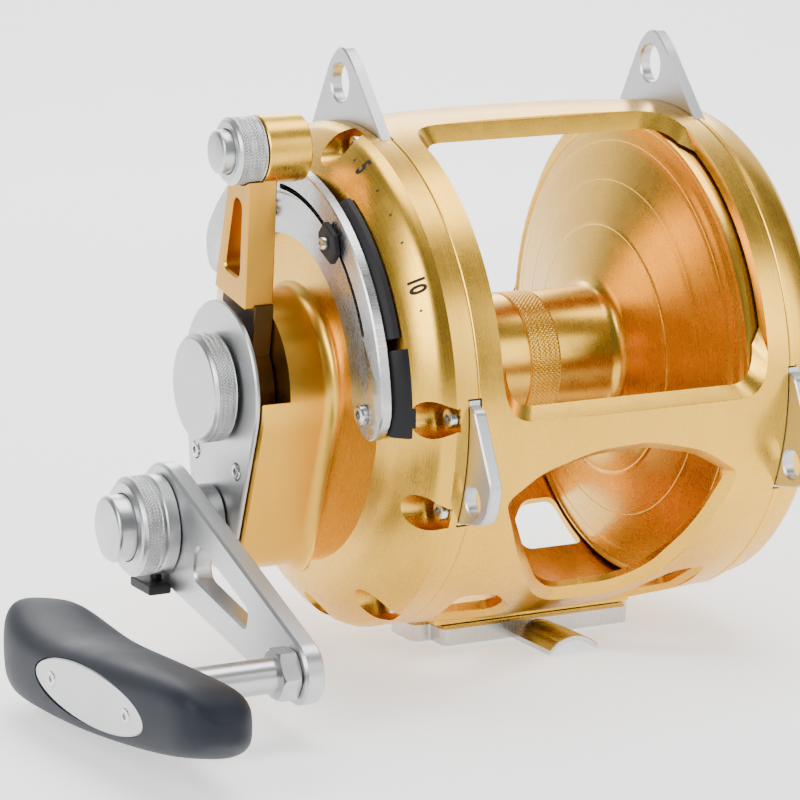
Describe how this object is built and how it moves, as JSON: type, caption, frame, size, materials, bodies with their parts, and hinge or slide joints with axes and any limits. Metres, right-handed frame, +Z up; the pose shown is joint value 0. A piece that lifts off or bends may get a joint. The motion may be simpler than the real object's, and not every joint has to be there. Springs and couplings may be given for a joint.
{
  "type": "trolling reel",
  "caption": "Two-speed lever-drag trolling reel: open barrel frame, wide spool, offset crank with a T-shaped hand grip, drag lever on a quadrant, harness lugs and a rod foot.",
  "frame": {"origin": "centre of the flat underside of the rod foot", "axes": "+X along the spool axis towards the tail side, with the crank at -X; -Y towards the rod tip; +Z up, away from the rod"},
  "size_m": [0.2993, 0.2543, 0.2126],
  "materials": {
    "gold_anodised": "gold anodised, satin turned",
    "silver_anodised": "clear anodised, satin",
    "polished_stainless": "polished stainless",
    "gear_steel": "machined, oiled",
    "screw_steel": "bright",
    "black_plastic": "matte",
    "drag_carbon": "woven carbon drag facing",
    "grip_rubber": "soft matte"
  },
  "bodies": {
    "housing": {"frame": "gold_anodised", "crank_side_plate": "gold_anodised", "tail_side_plate": "gold_anodised", "top_lug_crank_side": "silver_anodised", "top_lug_tail_side": "silver_anodised", "front_lug_crank_side": "silver_anodised", "front_lug_tail_side": "silver_anodised", "reel_foot": "polished_stainless", "foot_screw_1": "screw_steel", "foot_screw_2": "screw_steel", "plate_screw_1": "screw_steel", "plate_screw_2": "screw_steel", "plate_screw_3": "screw_steel", "plate_screw_4": "screw_steel", "plate_screw_5": "screw_steel", "plate_screw_6": "screw_steel", "plate_screw_7": "screw_steel", "plate_screw_8": "screw_steel", "tail_screw_1": "screw_steel", "tail_screw_2": "screw_steel", "tail_screw_3": "screw_steel", "tail_screw_4": "screw_steel", "tail_screw_5": "screw_steel", "gear_cover": "silver_anodised", "cover_screw_1": "screw_steel", "cover_screw_2": "screw_steel", "drag_quadrant": "polished_stainless", "quadrant_backing": "black_plastic", "quadrant_screw_1": "screw_steel", "quadrant_screw_2": "screw_steel", "drag_spring": "gear_steel"},
    "spool_group": {"spool": "gold_anodised", "click_wheel": "gear_steel", "spool_bearing_crank_side": "gear_steel", "spool_bearing_tail_side": "gear_steel", "drag_disc": "drag_carbon"},
    "spindle_group": {"spindle": "gear_steel", "high_pinion": "gear_steel", "low_pinion": "gear_steel", "pressure_plate": "gear_steel"},
    "drag_cam": {"drag_cam": "gear_steel"},
    "crank": {"crank_shaft": "gear_steel", "crank_arm": "silver_anodised", "crank_cap": "silver_anodised", "high_gear": "gear_steel", "anti_reverse_wheel": "gear_steel", "handle_shank": "silver_anodised"},
    "low_gear": {"low_gear": "gear_steel"},
    "grip": {"hand_grip": "grip_rubber", "grip_plate": "silver_anodised"},
    "shift_button": {"shift_button": "silver_anodised"},
    "gear_release_tab": {"gear_release_tab": "black_plastic"},
    "lever": {"drag_lever": "gold_anodised", "lever_collar": "silver_anodised"},
    "lever_button": {"lever_button": "silver_anodised"},
    "preset_knob": {"preset_knob": "silver_anodised"},
    "strike_stop": {"strike_stop": "black_plastic", "strike_stop_screw": "screw_steel"},
    "click_knob": {"click_knob": "silver_anodised"},
    "anti_reverse_pawl": {"anti_reverse_pawl": "gear_steel"}
  },
  "joints": [
    {"name": "crank_turn", "type": "hinge", "parent": "housing", "child": "crank", "pos_m": [-0.121, 0.006, 0.0504], "axis": [1, 0, 0], "continuous": true},
    {"name": "spool_spin", "type": "hinge", "parent": "housing", "child": "spool_group", "pos_m": [0, 0, 0.098], "axis": [1, 0, 0], "continuous": true},
    {"name": "pinion_spin", "type": "hinge", "parent": "housing", "child": "spindle_group", "pos_m": [0, 0, 0.098], "axis": [1, 0, 0], "continuous": true},
    {"name": "low_gear_spin", "type": "hinge", "parent": "housing", "child": "low_gear", "pos_m": [-0.121, 0.006, 0.0504], "axis": [1, 0, 0], "continuous": true},
    {"name": "grip_spin", "type": "hinge", "parent": "crank", "child": "grip", "pos_m": [-0.161, -0.098, 0.0225], "axis": [1, 0, 0], "continuous": true},
    {"name": "shift_button_press", "type": "slide", "parent": "crank", "child": "shift_button", "axis": [1, 0, 0], "range_m": [0, 0.003], "stiffness_N_per_m": 900},
    {"name": "gear_release_pull", "type": "slide", "parent": "crank", "child": "gear_release_tab", "axis": [0, 0, -1], "range_m": [0, 0.003], "stiffness_N_per_m": 700},
    {"name": "drag_lever_swing", "type": "hinge", "parent": "housing", "child": "lever", "pos_m": [0, 0, 0.098], "axis": [1, 0, 0], "range_deg": [-69, 54]},
    {"name": "lever_button_press", "type": "slide", "parent": "lever", "child": "lever_button", "axis": [1, 0, 0], "range_m": [0, 0.002], "stiffness_N_per_m": 900},
    {"name": "cam_slide", "type": "slide", "parent": "housing", "child": "drag_cam", "axis": [1, 0, 0], "range_m": [-0.0006, 0.0005]},
    {"name": "preset_knob_turn", "type": "hinge", "parent": "housing", "child": "preset_knob", "pos_m": [0, 0, 0.098], "axis": [1, 0, 0], "range_deg": [-180, 180]},
    {"name": "strike_stop_slide", "type": "hinge", "parent": "housing", "child": "strike_stop", "pos_m": [0, 0, 0.098], "axis": [1, 0, 0], "range_deg": [-30, 21]},
    {"name": "click_knob_slide", "type": "slide", "parent": "housing", "child": "click_knob", "axis": [0, 0, 1], "range_m": [0, 0.005]},
    {"name": "anti_reverse_pawl_swing", "type": "hinge", "parent": "housing", "child": "anti_reverse_pawl", "pos_m": [-0.077, -0.0174, 0.0624], "axis": [1, 0, 0], "range_deg": [-12, 0], "stiffness_Nm_per_rad": 0.02}
  ],
  "couplings": [
    {"joint": "spool_spin", "follows": "crank_turn", "ratio": -1.6667},
    {"joint": "pinion_spin", "follows": "crank_turn", "ratio": -1.6667},
    {"joint": "low_gear_spin", "follows": "crank_turn", "ratio": 1.9697},
    {"joint": "cam_slide", "follows": "drag_lever_swing", "m_per_rad": 0.0004}
  ]
}
